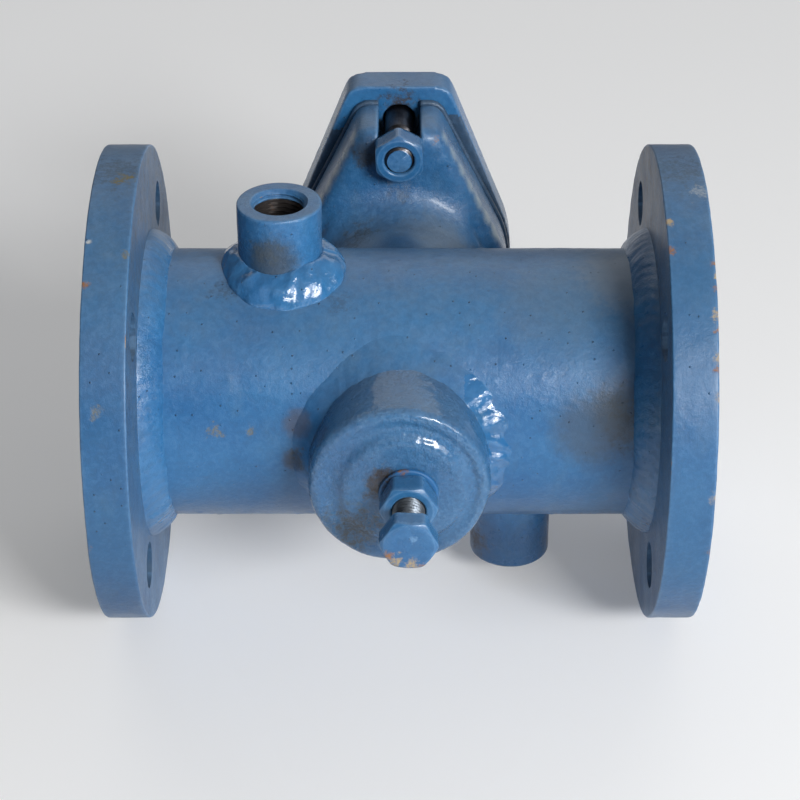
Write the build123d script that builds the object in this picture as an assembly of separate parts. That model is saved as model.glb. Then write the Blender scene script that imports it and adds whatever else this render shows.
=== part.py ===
"""Adjustable bimetal steam trap, DN65 PN16, welded steel body. Millimetres.

The origin is the centre of the inlet flange's raised face. +X runs along the flow, +Z is up,
and the adjusting screw points to -Y. The cover is on the +Y side.
"""

from build123d import *
import math
import os

# Flanges and body tube
FACE_TO_FACE = 230.0
FLANGE_OD = 185.0
FLANGE_THICKNESS = 19.0
RAISED_FACE_OD = 122.0
RAISED_FACE_HEIGHT = 2.0
FLANGE_BORE = 66.0
FLANGE_EDGE = 1.5
BOLT_CIRCLE = 145.0
BOLT_HOLE = 18.0
BOLT_COUNT = 4
TUBE_OD = 104.0
TUBE_WALL = 5.0
FLANGE_WELD_LEG = 9.5

# Threaded ports, G1/2: one up near the inlet, one down near the outlet
PORT_OFFSET = 45.0
PORT_OD = 32.0
PORT_END = 79.4
PORT_THREAD_MINOR = 18.63
PORT_TUBE_HOLE = 21.0
PORT_MOUTH = 1.2
TOP_WELD_LEG = 9.0
BOTTOM_WELD_LEG = 3.5

# Front cap
CAP_OD = 67.0
CAP_CAVITY = 54.0
CAP_CAVITY_DEPTH = 63.0
CAP_EDGE_START = 70.6
CAP_RIM_RADIUS = 30.6
CAP_RIM = 73.6
CAP_GROOVE_RADIUS = 27.2
CAP_GROOVE = 73.1
CAP_RING_RADIUS = 21.4
CAP_RING = 75.6
CAP_BOSS_RADIUS = 12.5
CAP_BOSS = 76.0
CAP_BOSS_HEIGHT = 0.3
CAP_WELD_LEG = 7.5

# Rear branch and cover
BRANCH_OD = 72.0
BRANCH_BORE = 56.0
BRANCH_FILLET = 14.0
BRANCH_WELD_LEG = 4.0
EAR_FACE = 75.0
EAR_THICKNESS = 25.0
EAR_HALF_HEIGHT = 71.5
EAR_HALF_WIDTH = 19.0
EAR_CORNER = 7.0
EAR_MIDDLE_RADIUS = 46.0
EAR_EDGE = 6.0
EAR_FLAT = 6.5
COVER_BOLT_OFFSET = 63.0
SLOT_WIDTH = 17.0
GASKET_THICKNESS = 3.0
GASKET_GROWTH = 1.0
COVER_THICKNESS = 15.0
COVER_HALF_HEIGHT = 78.0
COVER_HALF_WIDTH = 23.0
COVER_CORNER = 8.0
COVER_MIDDLE_RADIUS = 47.8
COVER_BOLT_HOLE = 13.5
SPIGOT_RADIUS = 26.0
SPIGOT_HEIGHT = 4.0

# M12 fasteners
M12 = 12.0
M12_PITCH = 1.75
M12_FLATS = 19.0
M12_HEAD = 7.5
M12_NUT = 10.0
M12_NUT_BORE = 12.1
HEX_CHAMFER = 1.2

# Adjusting screw and lock nut; the screw's axis is a little off the cap's
SCREW_OFFSET = 3.4
SEAL_THICKNESS = 2.0
SEAL_OD = 23.0
SEAL_BORE = 12.6
SCREW_HEAD_FACE = 109.0
FACE_GAP = 0.05

# Partition
PARTITION_THICKNESS = 5.0
PARTITION_LEG_OFFSET = 34.0

# Seat carrier, seat and gasket
CARRIER_SPIGOT = 39.9
CARRIER_HOLE = 40.0
CARRIER_FRONT = -16.0
CARRIER_FLANGE = 48.0
CARRIER_FLANGE_THICKNESS = 4.0
CARRIER_HEX = 36.0
CARRIER_HEX_THICKNESS = 6.0
CARRIER_THROAT = 14.0
CARRIER_PORT = 6.0
CARRIER_PORT_PLACE = -8.5
CARRIER_PORT_COUNT = 6
SPRING_POCKET = 30.0
SEAT_GASKET_THICKNESS = 1.0
SEAT_OD = 20.0
SEAT_BORE = 12.0
SEAT_FRONT = -2.0
SEAT_BACK = 5.0
SEAT_CHAMFER = 2.0

# Valve plug, disc stack and thrust pad
SCREW_TURNS_IN = 1.5
VALVE_STROKE = 2.0
SHUT_CLEARANCE = 0.075
CONE_CLEARANCE = 0.1
CONE_LENGTH = 4.0
CONE_FRONT = 1.0
NECK_RADIUS = 7.0
NECK_LENGTH = 6.0
COLLAR_RADIUS = 13.5
COLLAR_THICKNESS = 2.0
STEM_RADIUS = 3.0
STEM_END_GAP = 0.9
PAIR_COUNT = 7
DISC_RADIUS = 13.0
DISC_HOLE = 3.3
DISC_THICKNESS = 1.2
BODY_GAP = 0.2
PAD_RADIUS = 13.0
PAD_LENGTH = 12.0
PAD_BORE = 3.05
PAD_BORE_DEPTH = 6.5
PAD_RECESS = 6.3
PAD_RECESS_DEPTH = 3.0
PAD_EDGE = 0.8

# Return spring
SPRING_WIRE = 1.2
SPRING_RADIUS = 12.4
SPRING_TURNS = 4.0

# Strainer basket
BASKET_BORE = 40.0
BASKET_WALL = 1.2
BASKET_REAR = -4.0
BASKET_FRONT = -58.0
BASKET_END_HOLE = 16.0
BASKET_HOLE = 3.0
BASKET_HOLES_ROUND = 20
BASKET_HOLE_ROWS = 9
BASKET_HOLE_PITCH = 4.4

# Derived
CENTRE = FACE_TO_FACE / 2
SCREW_X = CENTRE + SCREW_OFFSET
TUBE_RADIUS = TUBE_OD / 2
TUBE_INNER = TUBE_RADIUS - TUBE_WALL
EAR_BACK = EAR_FACE + EAR_THICKNESS
COVER_FACE = EAR_BACK + GASKET_THICKNESS
COVER_BACK = COVER_FACE + COVER_THICKNESS
WEB_HALF = PARTITION_THICKNESS / 2
CARRIER_SEATING = WEB_HALF + SEAT_GASKET_THICKNESS
VALVE_OPENING = SCREW_TURNS_IN * M12_PITCH + VALVE_STROKE + SHUT_CLEARANCE
PAIR_THICKNESS = 2 * DISC_THICKNESS
PAIR_PITCH = PAIR_THICKNESS + BODY_GAP
PLUG_TIP = CONE_FRONT - VALVE_OPENING
CONE_BACK = PLUG_TIP - CONE_LENGTH
COLLAR_BACK = CONE_BACK - NECK_LENGTH
COLLAR_FRONT = COLLAR_BACK - COLLAR_THICKNESS
PAD_BACK = COLLAR_FRONT - BODY_GAP - PAIR_COUNT * PAIR_PITCH
PAD_FRONT = PAD_BACK - PAD_LENGTH
SCREW_TIP = PAD_FRONT + PAD_RECESS_DEPTH - FACE_GAP
SEAL_FRONT = CAP_BOSS + FACE_GAP + SEAL_THICKNESS
NUT_BACK = SEAL_FRONT + FACE_GAP
SCREW_HEAD_BACK = SCREW_HEAD_FACE - M12_HEAD


def rod_x(radius, start, end):
    """A cylinder on the pipe axis."""
    return Pos((start + end) / 2, 0, 0) * Rot(0, 90, 0) * Cylinder(radius, end - start)


def rod_y(radius, start, end, x=CENTRE, z=0.0):
    """A cylinder along Y."""
    return Pos(x, (start + end) / 2, z) * Rot(90, 0, 0) * Cylinder(radius, end - start)


def rod_z(radius, start, end, x, y=0.0):
    """A cylinder along Z."""
    return Pos(x, y, (start + end) / 2) * Cylinder(radius, end - start)


def hexagon_y(flats, start, end, x, z=0.0, corner_up=False):
    """A hexagonal prism along Y, with its corners to the sides or up and down."""
    turn = 30 if corner_up else 0
    outline = RegularPolygon(flats / 2, 6, major_radius=False, rotation=turn)
    plane = Plane(origin=(x, end, z), x_dir=(1, 0, 0), z_dir=(0, -1, 0))
    return extrude(plane * outline, end - start)


def hex_crown(flats, start, end, x, z=0.0, front=True, back=True):
    """The round blank that chamfers the corners of a hexagon."""
    radius = flats / math.sqrt(3) + 0.05
    blank = rod_y(radius, start, end, x, z)
    rims = blank.edges().filter_by(GeomType.CIRCLE).sort_by(Axis.Y)
    chosen = ([rims[0]] if front else []) + ([rims[-1]] if back else [])
    return chamfer(chosen, HEX_CHAMFER * 0.6, HEX_CHAMFER)


def turned_y(points, x=CENTRE):
    """A solid turned about the Y line through x, from points of radius and y."""
    outline = [(x + radius, y) for radius, y in points]
    face = make_face(Polyline(*outline, close=True))
    return revolve(Plane.XY * face, Axis((x, 0, 0), (0, 1, 0)))


def flange(start, facing):
    """A plate flange; facing is -1 or +1, the way its raised face points along X."""
    rim_face = FLANGE_THICKNESS - RAISED_FACE_HEIGHT
    disc = rod_x(FLANGE_OD / 2, 0, rim_face)
    disc = fillet(disc.edges().filter_by(GeomType.CIRCLE), FLANGE_EDGE)
    disc += rod_x(RAISED_FACE_OD / 2, rim_face, FLANGE_THICKNESS)
    disc -= rod_x(FLANGE_BORE / 2, 0, FLANGE_THICKNESS)
    for i in range(BOLT_COUNT):
        angle = math.radians(45 + i * 360 / BOLT_COUNT)
        hole = rod_x(BOLT_HOLE / 2, 0, FLANGE_THICKNESS)
        disc -= Pos(0, BOLT_CIRCLE / 2 * math.cos(angle), BOLT_CIRCLE / 2 * math.sin(angle)) * hole
    turned = disc if facing > 0 else Rot(0, 0, 180) * disc
    return Pos(start, 0, 0) * turned


def flange_weld(start, direction):
    """A fillet bead round the tube, on the flange's inner face."""
    leg = FLANGE_WELD_LEG * direction
    points = [(start, TUBE_RADIUS), (start + leg, TUBE_RADIUS), (start, TUBE_RADIUS + FLANGE_WELD_LEG)]
    return revolve(Plane.XY * make_face(Polyline(*points, close=True)), Axis.X)


def body_tube():
    """The tube between the flanges, with holes for the cap, the branch and the two ports."""
    tube = rod_x(TUBE_RADIUS, FLANGE_THICKNESS, FACE_TO_FACE - FLANGE_THICKNESS)
    tube -= rod_x(TUBE_INNER, FLANGE_THICKNESS, FACE_TO_FACE - FLANGE_THICKNESS)
    tube -= rod_y(CAP_CAVITY / 2, -TUBE_RADIUS, -TUBE_INNER / 2)
    tube -= rod_y(BRANCH_BORE / 2, TUBE_INNER / 2, TUBE_RADIUS)
    tube -= rod_z(PORT_TUBE_HOLE / 2, 0, TUBE_RADIUS, CENTRE - PORT_OFFSET)
    tube -= rod_z(PORT_TUBE_HOLE / 2, -TUBE_RADIUS, 0, CENTRE + PORT_OFFSET)
    return tube


def port_boss():
    """The upper half coupling: a round boss that sits on the tube, threaded inside."""
    x = CENTRE - PORT_OFFSET
    boss = rod_z(PORT_OD / 2, TUBE_INNER, PORT_END, x)
    mouth = boss.edges().filter_by(GeomType.CIRCLE).sort_by(Axis.Z)[-1]
    boss = fillet(mouth, 1.0)
    bore = PORT_THREAD_MINOR / 2
    boss -= rod_z(bore, 0, PORT_END, x)
    boss -= Pos(x, 0, PORT_END - PORT_MOUTH / 2) * Cone(bore, bore + PORT_MOUTH, PORT_MOUTH)
    return boss - rod_x(TUBE_RADIUS, 0, FACE_TO_FACE)


def collar_weld(post, inner, leg, length):
    """A bead where a round post along Y or Z meets the tube: a ring with its corner cut back."""
    ring = post(inner + leg, TUBE_RADIUS / 2, TUBE_RADIUS + leg)
    ring -= post(inner, 0, TUBE_RADIUS + 2 * leg)
    ring &= rod_x(TUBE_RADIUS + leg * 0.8, 0, length)
    return ring - rod_x(TUBE_RADIUS, 0, length)


def port_weld(leg):
    """The bead at the upper boss's foot."""
    x = CENTRE - PORT_OFFSET
    return collar_weld(lambda r, a, b: rod_z(r, a, b, x), PORT_OD / 2, leg, FACE_TO_FACE)


def upside_down(shape):
    """The same shape for the lower port: turned half round about the trap's cross axis."""
    return Pos(FACE_TO_FACE, 0, 0) * Rot(0, 180, 0) * shape


def front_cap():
    """The cast cap: a cup on the tube, with a stepped face and a boss for the screw."""
    edge = CAP_OD / 2
    foot = -CAP_BOSS + CAP_BOSS_HEIGHT
    wall = Polyline((0, foot), (0, 0), (edge, 0), (edge, -CAP_EDGE_START))
    corner = RadiusArc(wall @ 1, (CAP_RIM_RADIUS, -CAP_RIM), CAP_RIM - CAP_EDGE_START)
    face = Spline(
        (CAP_RIM_RADIUS, -CAP_RIM),
        (CAP_GROOVE_RADIUS, -CAP_GROOVE),
        (CAP_RING_RADIUS, -CAP_RING),
        (CAP_BOSS_RADIUS, foot),
        (0, foot),
    )
    outline = Pos(CENTRE, 0) * make_face(Curve() + [wall, corner, face])
    cap = revolve(outline, Axis((CENTRE, 0, 0), (0, 1, 0)))
    cap += rod_y(CAP_BOSS_RADIUS, -CAP_BOSS, -CAP_CAVITY_DEPTH - 1, SCREW_X)
    cap -= rod_y(CAP_CAVITY / 2, -CAP_CAVITY_DEPTH, 0)
    cap -= rod_y(M12 / 2 + 0.06, -CAP_BOSS, -CAP_CAVITY_DEPTH + 1, SCREW_X)
    return cap - rod_x(TUBE_RADIUS, 0, FACE_TO_FACE)


def front_cap_weld():
    """The bead round the cap's foot."""
    return collar_weld(lambda r, a, b: rod_y(r, -b, -a), CAP_OD / 2, CAP_WELD_LEG, FACE_TO_FACE)


def branch_weld():
    """The bead round the branch's foot."""
    return collar_weld(lambda r, a, b: rod_y(r, a, b), BRANCH_OD / 2, BRANCH_WELD_LEG, FACE_TO_FACE)


def lozenge(half_height, half_width, corner, middle):
    """A round plate with a blunt ear above and below, as a sketch in X and Z."""
    circles = [Circle(middle).edge()]
    for side in (-1, 1):
        for end in (-1, 1):
            centre = (side * (half_width - corner), end * (half_height - corner))
            circles.append(Pos(*centre) * Circle(corner).edge())
    return make_hull(ShapeList(circles))


def plate_y(sketch, start, end):
    """A plate of that outline, from start to end along Y."""
    plane = Plane(origin=(CENTRE, start, 0), x_dir=(-1, 0, 0), z_dir=(0, 1, 0))
    return extrude(plane * sketch, end - start)


def slot_cutters(start, end):
    """The open slots at the top and bottom of the ears."""
    cutters = []
    for end_sign in (-1, 1):
        middle = end_sign * (COVER_BOLT_OFFSET + SLOT_WIDTH)
        opening = Box(SLOT_WIDTH, end - start, 2 * SLOT_WIDTH)
        cutters.append(Pos(CENTRE, (start + end) / 2, middle) * opening)
        cutters.append(rod_y(SLOT_WIDTH / 2, start, end, z=end_sign * COVER_BOLT_OFFSET))
    return cutters


def branch_fillet():
    """The cove between the neck and the ears' front face."""
    inner = BRANCH_OD / 2
    outer = inner + BRANCH_FILLET
    start = EAR_FACE - BRANCH_FILLET
    root = inner - 2
    back = EAR_FACE + 1
    edge = Polyline((inner, start), (root, start), (root, back), (outer, back), (outer, EAR_FACE))
    cove = RadiusArc((outer, EAR_FACE), (inner, start), -BRANCH_FILLET)
    outline = Pos(CENTRE, 0) * make_face(Curve() + [edge, cove])
    return revolve(outline, Axis((CENTRE, 0, 0), (0, 1, 0)))


def cover_branch():
    """The branch casting: neck, cove and a thick flange with two slotted ears, rounded in front."""
    sizes = (EAR_HALF_HEIGHT, EAR_HALF_WIDTH, EAR_CORNER, EAR_MIDDLE_RADIUS)
    ears = plate_y(lozenge(*sizes), EAR_FACE, EAR_BACK)
    ears = fillet(ears.faces().sort_by(Axis.Y)[0].edges(), EAR_EDGE)
    flat = lozenge(*(size - EAR_FLAT for size in sizes))
    branch = ears + rod_y(BRANCH_OD / 2, TUBE_INNER / 2, EAR_FACE)
    branch += branch_fillet() & plate_y(flat, 0, EAR_BACK)
    for cutter in slot_cutters(EAR_FACE, EAR_BACK):
        branch -= cutter
    branch -= rod_y(BRANCH_BORE / 2, 0, EAR_BACK)
    return branch - rod_x(TUBE_RADIUS, 0, FACE_TO_FACE)


def cover_gasket():
    """The flat gasket between the ears and the cover."""
    grow = GASKET_GROWTH
    outline = lozenge(
        EAR_HALF_HEIGHT + grow, EAR_HALF_WIDTH + grow, EAR_CORNER + grow, EAR_MIDDLE_RADIUS + grow
    )
    gasket = plate_y(outline, EAR_BACK, COVER_FACE)
    for cutter in slot_cutters(EAR_BACK, COVER_FACE):
        gasket -= cutter
    return gasket - rod_y(BRANCH_BORE / 2, EAR_BACK, COVER_FACE)


def cover_plate():
    """The cover, with its bolt holes and the spigot that centres it in the branch."""
    outline = lozenge(COVER_HALF_HEIGHT, COVER_HALF_WIDTH, COVER_CORNER, COVER_MIDDLE_RADIUS)
    cover = plate_y(outline, COVER_FACE, COVER_BACK)
    cover += rod_y(SPIGOT_RADIUS, COVER_FACE - GASKET_THICKNESS - SPIGOT_HEIGHT, COVER_FACE)
    for end_sign in (-1, 1):
        cover -= rod_y(COVER_BOLT_HOLE / 2, COVER_FACE, COVER_BACK, z=end_sign * COVER_BOLT_OFFSET)
    return cover


def cover_bolt(z):
    """A hex bolt with its head behind the cover and its end flush with the nut."""
    head = hexagon_y(M12_FLATS, COVER_BACK, COVER_BACK + M12_HEAD, CENTRE, z)
    head &= hex_crown(M12_FLATS, COVER_BACK, COVER_BACK + M12_HEAD, CENTRE, z, front=False)
    return head + rod_y(M12 / 2, EAR_FACE - M12_NUT, COVER_BACK, z=z)


def nut(start, x, z, corner_up):
    """An M12 nut whose outer face is at start."""
    end = start + M12_NUT
    shape = hexagon_y(M12_FLATS, start, end, x, z, corner_up)
    shape &= hex_crown(M12_FLATS, start, end, x, z)
    return shape - rod_y(M12_NUT_BORE / 2, start, end, x, z)


def adjusting_screw():
    """The M12 set screw, from its hex head to the thrust pad."""
    head = hexagon_y(M12_FLATS, -SCREW_HEAD_FACE, -SCREW_HEAD_BACK, SCREW_X)
    head &= hex_crown(M12_FLATS, -SCREW_HEAD_FACE, -SCREW_HEAD_BACK, SCREW_X, back=False)
    shank = rod_y(M12 / 2, -SCREW_HEAD_BACK, SCREW_TIP, SCREW_X)
    tip = shank.edges().filter_by(GeomType.CIRCLE).sort_by(Axis.Y)[-1]
    return head + chamfer(tip, 1.0)


def screw_seal():
    """The soft washer between the lock nut and the cap."""
    washer = rod_y(SEAL_OD / 2, -SEAL_FRONT, -SEAL_FRONT + SEAL_THICKNESS, SCREW_X)
    return washer - rod_y(SEAL_BORE / 2, -SEAL_FRONT, -SEAL_FRONT + SEAL_THICKNESS, SCREW_X)


def partition_plate():
    """The Z-shaped wall: a leg to the rear wall, a web on the mid plane, a leg to the front wall."""
    left = CENTRE - PARTITION_LEG_OFFSET
    right = CENTRE + PARTITION_LEG_OFFSET
    thickness = PARTITION_THICKNESS
    web = Pos(CENTRE, 0, 0) * Box(right - left + thickness, thickness, TUBE_OD)
    rear_leg = Pos(left, TUBE_RADIUS / 2, 0) * Box(thickness, TUBE_RADIUS, TUBE_OD)
    front_leg = Pos(right, -TUBE_RADIUS / 2, 0) * Box(thickness, TUBE_RADIUS, TUBE_OD)
    plate = web + rear_leg + front_leg
    plate &= rod_x(TUBE_INNER, 0, FACE_TO_FACE)
    return plate - rod_y(CARRIER_HOLE / 2, -WEB_HALF, WEB_HALF, SCREW_X)


def seat_carrier():
    """The screwed bush that holds the seat, with the spring's pocket and its inlet ports."""
    flange_back = CARRIER_SEATING + CARRIER_FLANGE_THICKNESS
    hex_back = flange_back + CARRIER_HEX_THICKNESS
    carrier = rod_y(CARRIER_SPIGOT / 2, CARRIER_FRONT, CARRIER_SEATING, SCREW_X)
    carrier += rod_y(CARRIER_FLANGE / 2, CARRIER_SEATING, flange_back, SCREW_X)
    carrier += hexagon_y(CARRIER_HEX, flange_back, hex_back, SCREW_X)
    carrier -= rod_y(SPRING_POCKET / 2, CARRIER_FRONT, SEAT_FRONT, SCREW_X)
    carrier -= rod_y(SEAT_OD / 2, SEAT_FRONT, SEAT_BACK, SCREW_X)
    carrier -= rod_y(CARRIER_THROAT / 2, SEAT_BACK, hex_back, SCREW_X)
    for i in range(CARRIER_PORT_COUNT):
        port = rod_z(CARRIER_PORT / 2, 0, CARRIER_SPIGOT, 0)
        turned = Rot(0, i * 360 / CARRIER_PORT_COUNT, 0) * port
        carrier -= Pos(SCREW_X, CARRIER_PORT_PLACE, 0) * turned
    return carrier


def seat_gasket():
    """The copper ring under the carrier's flange."""
    ring = rod_y(CARRIER_FLANGE / 2 - 0.5, WEB_HALF, CARRIER_SEATING, SCREW_X)
    return ring - rod_y(CARRIER_HOLE / 2, WEB_HALF, CARRIER_SEATING, SCREW_X)


def valve_seat():
    """The hard seat ring, with its cone."""
    bore = SEAT_BORE / 2
    points = [
        (bore, SEAT_BACK),
        (SEAT_OD / 2, SEAT_BACK),
        (SEAT_OD / 2, SEAT_FRONT),
        (bore + SEAT_CHAMFER, SEAT_FRONT),
        (bore, SEAT_FRONT + SEAT_CHAMFER),
    ]
    return turned_y(points, SCREW_X)


def valve_plug():
    """The cone, neck, collar and stem, shown open."""
    tip_radius = SEAT_BORE / 2 - CONE_FRONT - CONE_CLEARANCE
    stem_end = PAD_BACK - PAD_BORE_DEPTH + STEM_END_GAP
    points = [
        (0, PLUG_TIP),
        (tip_radius, PLUG_TIP),
        (tip_radius + CONE_LENGTH, CONE_BACK),
        (NECK_RADIUS, CONE_BACK),
        (NECK_RADIUS, COLLAR_BACK),
        (COLLAR_RADIUS, COLLAR_BACK),
        (COLLAR_RADIUS, COLLAR_FRONT),
        (STEM_RADIUS, COLLAR_FRONT),
        (STEM_RADIUS, stem_end),
        (0, stem_end),
    ]
    return turned_y(points, SCREW_X)


def bimetal_pair(number):
    """Two bimetal discs face to face; pair 1 is next to the thrust pad."""
    start = PAD_BACK + BODY_GAP + (number - 1) * PAIR_PITCH
    middle = start + DISC_THICKNESS
    discs = []
    for front, back in ((start, middle), (middle, middle + DISC_THICKNESS)):
        disc = rod_y(DISC_RADIUS, front, back, SCREW_X)
        discs.append(disc - rod_y(DISC_HOLE, front, back, SCREW_X))
    return Compound(children=discs)


def thrust_pad():
    """The pad that the screw pushes; the stem slides in its bore."""
    pad = rod_y(PAD_RADIUS, PAD_FRONT, PAD_BACK, SCREW_X)
    pad = chamfer(pad.edges().filter_by(GeomType.CIRCLE), PAD_EDGE)
    pad -= rod_y(PAD_BORE, PAD_BACK - PAD_BORE_DEPTH, PAD_BACK, SCREW_X)
    return pad - rod_y(PAD_RECESS, PAD_FRONT, PAD_FRONT + PAD_RECESS_DEPTH, SCREW_X)


def return_spring():
    """The coil between the collar and the carrier, one solid along a helix."""
    start = COLLAR_BACK + SPRING_WIRE / 2 + BODY_GAP
    end = SEAT_FRONT - SPRING_WIRE / 2 - BODY_GAP
    pitch = (end - start) / SPRING_TURNS
    path = Helix(pitch, end - start, SPRING_RADIUS)
    section = Plane(origin=path @ 0, z_dir=path % 0) * Circle(SPRING_WIRE / 2)
    coil = sweep(section, path=path, is_frenet=True)
    return Pos(SCREW_X, start, 0) * Rot(-90, 0, 0) * coil


def strainer_basket():
    """The perforated cylinder round the stack, open at the rear."""
    outer = BASKET_BORE / 2 + BASKET_WALL
    basket = rod_y(outer, BASKET_FRONT, BASKET_REAR, SCREW_X)
    basket -= rod_y(BASKET_BORE / 2, BASKET_FRONT + BASKET_WALL, BASKET_REAR, SCREW_X)
    basket -= rod_y(BASKET_END_HOLE / 2, BASKET_FRONT, BASKET_REAR, SCREW_X)
    first = BASKET_FRONT + 2 * BASKET_HOLE_PITCH
    cutters = []
    for row in range(BASKET_HOLE_ROWS):
        for i in range(BASKET_HOLES_ROUND // 2):
            angle = (i + row % 2 / 2) * 360 / BASKET_HOLES_ROUND
            through = rod_z(BASKET_HOLE / 2, -outer - 1, outer + 1, 0)
            place = Pos(SCREW_X, first + row * BASKET_HOLE_PITCH, 0)
            cutters.append(place * Rot(0, angle, 0) * through)
    return basket.cut(*cutters)


def build():
    """Every node by name."""
    nodes = {
        "inlet_flange": flange(FLANGE_THICKNESS, -1),
        "outlet_flange": flange(FACE_TO_FACE - FLANGE_THICKNESS, 1),
        "body_tube": body_tube(),
        "inlet_flange_weld": flange_weld(FLANGE_THICKNESS, 1),
        "outlet_flange_weld": flange_weld(FACE_TO_FACE - FLANGE_THICKNESS, -1),
        "top_port_boss": port_boss(),
        "top_port_weld": port_weld(TOP_WELD_LEG),
        "bottom_port_boss": upside_down(port_boss()),
        "bottom_port_weld": upside_down(port_weld(BOTTOM_WELD_LEG)),
        "front_cap": front_cap(),
        "front_cap_weld": front_cap_weld(),
        "cover_branch": cover_branch(),
        "branch_weld": branch_weld(),
        "cover_gasket": cover_gasket(),
        "cover_plate": cover_plate(),
        "cover_bolts": Compound(children=[cover_bolt(s * COVER_BOLT_OFFSET) for s in (-1, 1)]),
        "cover_nuts": Compound(
            children=[nut(EAR_FACE - M12_NUT, CENTRE, s * COVER_BOLT_OFFSET, True) for s in (-1, 1)]
        ),
        "adjusting_screw": adjusting_screw(),
        "lock_nut": nut(-NUT_BACK - M12_NUT, SCREW_X, 0, False),
        "screw_seal": screw_seal(),
        "partition_plate": partition_plate(),
        "seat_carrier": seat_carrier(),
        "seat_gasket": seat_gasket(),
        "valve_seat": valve_seat(),
        "valve_plug": valve_plug(),
        "return_spring": return_spring(),
        "thrust_pad": thrust_pad(),
        "strainer_basket": strainer_basket(),
    }
    for number in range(1, PAIR_COUNT + 1):
        nodes[f"bimetal_pair_{number}"] = bimetal_pair(number)
    return nodes


os.makedirs("parts", exist_ok=True)
for name, shape in build().items():
    export_step(shape, f"parts/{name}.step")
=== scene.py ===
"""The looks of the steam trap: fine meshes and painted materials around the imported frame.

Shapes are worked out in millimetres from the frame's boxes and turned into metres when a mesh is made.
"""

import math

import bmesh
import bpy
import numpy as np
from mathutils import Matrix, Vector


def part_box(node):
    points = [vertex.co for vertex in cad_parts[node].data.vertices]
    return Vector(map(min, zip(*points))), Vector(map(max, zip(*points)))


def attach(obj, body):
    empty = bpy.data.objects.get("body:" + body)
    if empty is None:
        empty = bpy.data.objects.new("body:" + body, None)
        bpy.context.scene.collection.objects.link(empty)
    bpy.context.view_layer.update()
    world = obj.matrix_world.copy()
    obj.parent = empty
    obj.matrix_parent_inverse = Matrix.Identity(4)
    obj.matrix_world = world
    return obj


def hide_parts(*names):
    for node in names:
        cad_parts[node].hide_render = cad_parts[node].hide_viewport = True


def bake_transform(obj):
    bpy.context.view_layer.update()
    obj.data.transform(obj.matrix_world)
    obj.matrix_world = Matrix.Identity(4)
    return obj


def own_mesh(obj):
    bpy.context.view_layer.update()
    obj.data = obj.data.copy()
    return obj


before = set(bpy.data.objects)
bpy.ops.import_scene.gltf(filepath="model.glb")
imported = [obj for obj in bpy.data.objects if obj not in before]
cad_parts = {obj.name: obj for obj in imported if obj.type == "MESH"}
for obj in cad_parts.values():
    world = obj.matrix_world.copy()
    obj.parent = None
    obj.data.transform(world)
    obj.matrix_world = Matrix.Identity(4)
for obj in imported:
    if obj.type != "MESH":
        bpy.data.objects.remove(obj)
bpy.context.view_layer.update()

# ------------------------------ sizes, in millimetres
MM = 0.001
TAU = 2 * math.pi


def box_mm(node):
    """A CAD node's lowest and highest corners, in millimetres."""
    low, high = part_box(node)
    return np.array(low) / MM, np.array(high) / MM


def middle(node):
    """The centre of a CAD node's box, in millimetres."""
    low, high = box_mm(node)
    return (low + high) / 2


def half_size(node, axis):
    """Half the size of a CAD node's box along an axis, in millimetres."""
    low, high = box_mm(node)
    return (high[axis] - low[axis]) / 2


def y_span(node):
    """Where a CAD node's box begins and ends along Y, in millimetres."""
    low, high = box_mm(node)
    return low[1], high[1]


TUBE_R = half_size("body_tube", 1)
TUBE_WALL = 5.0
CROSS_X = middle("body_tube")[0]
FLANGE_R = half_size("inlet_flange", 1)
FLANGE_THICK = box_mm("inlet_flange")[1][0]
LENGTH = box_mm("outlet_flange")[1][0]
RAISED_R, RAISED_H, FLANGE_BORE_R = 61.0, 2.0, 33.0
BOLT_CIRCLE_R, BOLT_HOLE_R = 72.5, 9.0
TOP_PORT_X = middle("top_port_boss")[0]
BOTTOM_PORT_X = middle("bottom_port_boss")[0]
PORT_R = half_size("top_port_boss", 0)
PORT_END = box_mm("top_port_boss")[1][2]
CAP_R = half_size("front_cap", 0)
CAP_FACE = -y_span("front_cap")[0]
CAP_CAVITY_R, CAP_CAVITY_END, CAP_DISC_SHIFT = 26.5, 63.0, 1.6
BRANCH_R = 36.0
PORT_HOLE_R, CAP_HOLE_R, BRANCH_HOLE_R = 10.5, 27.0, 28.0
SCREW_X = middle("adjusting_screw")[0]
SCREW_HOLE_R, SCREW_HEAD, WASHER_R = 6.3, 7.5, 11.0
M12_R, M12_PITCH, M12_DEPTH, M12_FLATS = 6.0, 1.75, 0.95, 19.0
G_HALF_MINOR, G_HALF_PITCH, G_HALF_DEPTH = 9.4, 1.814, 1.1
COVER_BOLT_Z = box_mm("cover_nuts")[1][2] - M12_FLATS / math.sqrt(3)
COVER_BACK = y_span("cover_plate")[1]
WIRE_R = 0.6
SPRING_R = half_size("return_spring", 0) - WIRE_R

# ------------------------------ camera, light and floor
VIEW_ELEVATION = math.radians(32.4)
VIEW_DISTANCE = 898.0
VIEW_LENS = 103.1
VIEW_SHIFT = (0.001, -0.0238)
FLOOR_HALF, FLOOR_GAP = 60.0, 0.0004  # metres
FLOOR_GLOW = 0.16


def add_object(name, data):
    """A new object in the scene."""
    obj = bpy.data.objects.new(name, data)
    bpy.context.scene.collection.objects.link(obj)
    return obj


def set_inputs(node, **values):
    """Sets a shader node's sockets, with _ for each space in their names."""
    for key, value in values.items():
        node.inputs[key.replace("_", " ")].default_value = value


def aim(obj, target):
    """Turns a camera or light to look at a point."""
    obj.rotation_euler = (Vector(target) - obj.location).to_track_quat("-Z", "Y").to_euler()


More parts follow.
